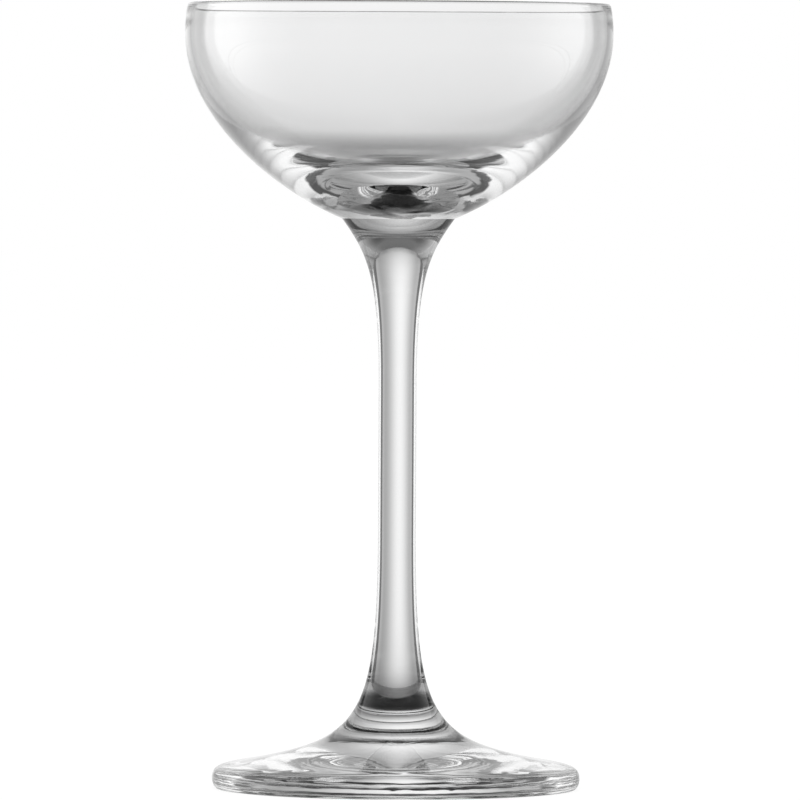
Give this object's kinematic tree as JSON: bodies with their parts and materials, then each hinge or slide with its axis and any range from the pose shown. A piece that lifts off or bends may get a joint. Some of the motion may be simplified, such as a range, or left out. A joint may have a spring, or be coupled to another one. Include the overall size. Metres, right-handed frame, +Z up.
{
  "type": "liqueur glass",
  "caption": "Clear stemmed glass for liqueur or a short drink: a wide, shallow round bowl on a slim flared stem and a round foot that it stands on.",
  "frame": {"origin": "centre of the foot's rest ring, on the surface that the glass stands on", "axes": "+Z up along the axis of the glass, from the foot to the rim; the glass is round, so X and Y are free"},
  "size_m": [0.0712, 0.0712, 0.13],
  "materials": {
    "clear_glass": "clear, fire-polished"
  },
  "bodies": {
    "root": {"bowl": "clear_glass", "stem": "clear_glass", "foot": "clear_glass"}
  },
  "joints": []
}
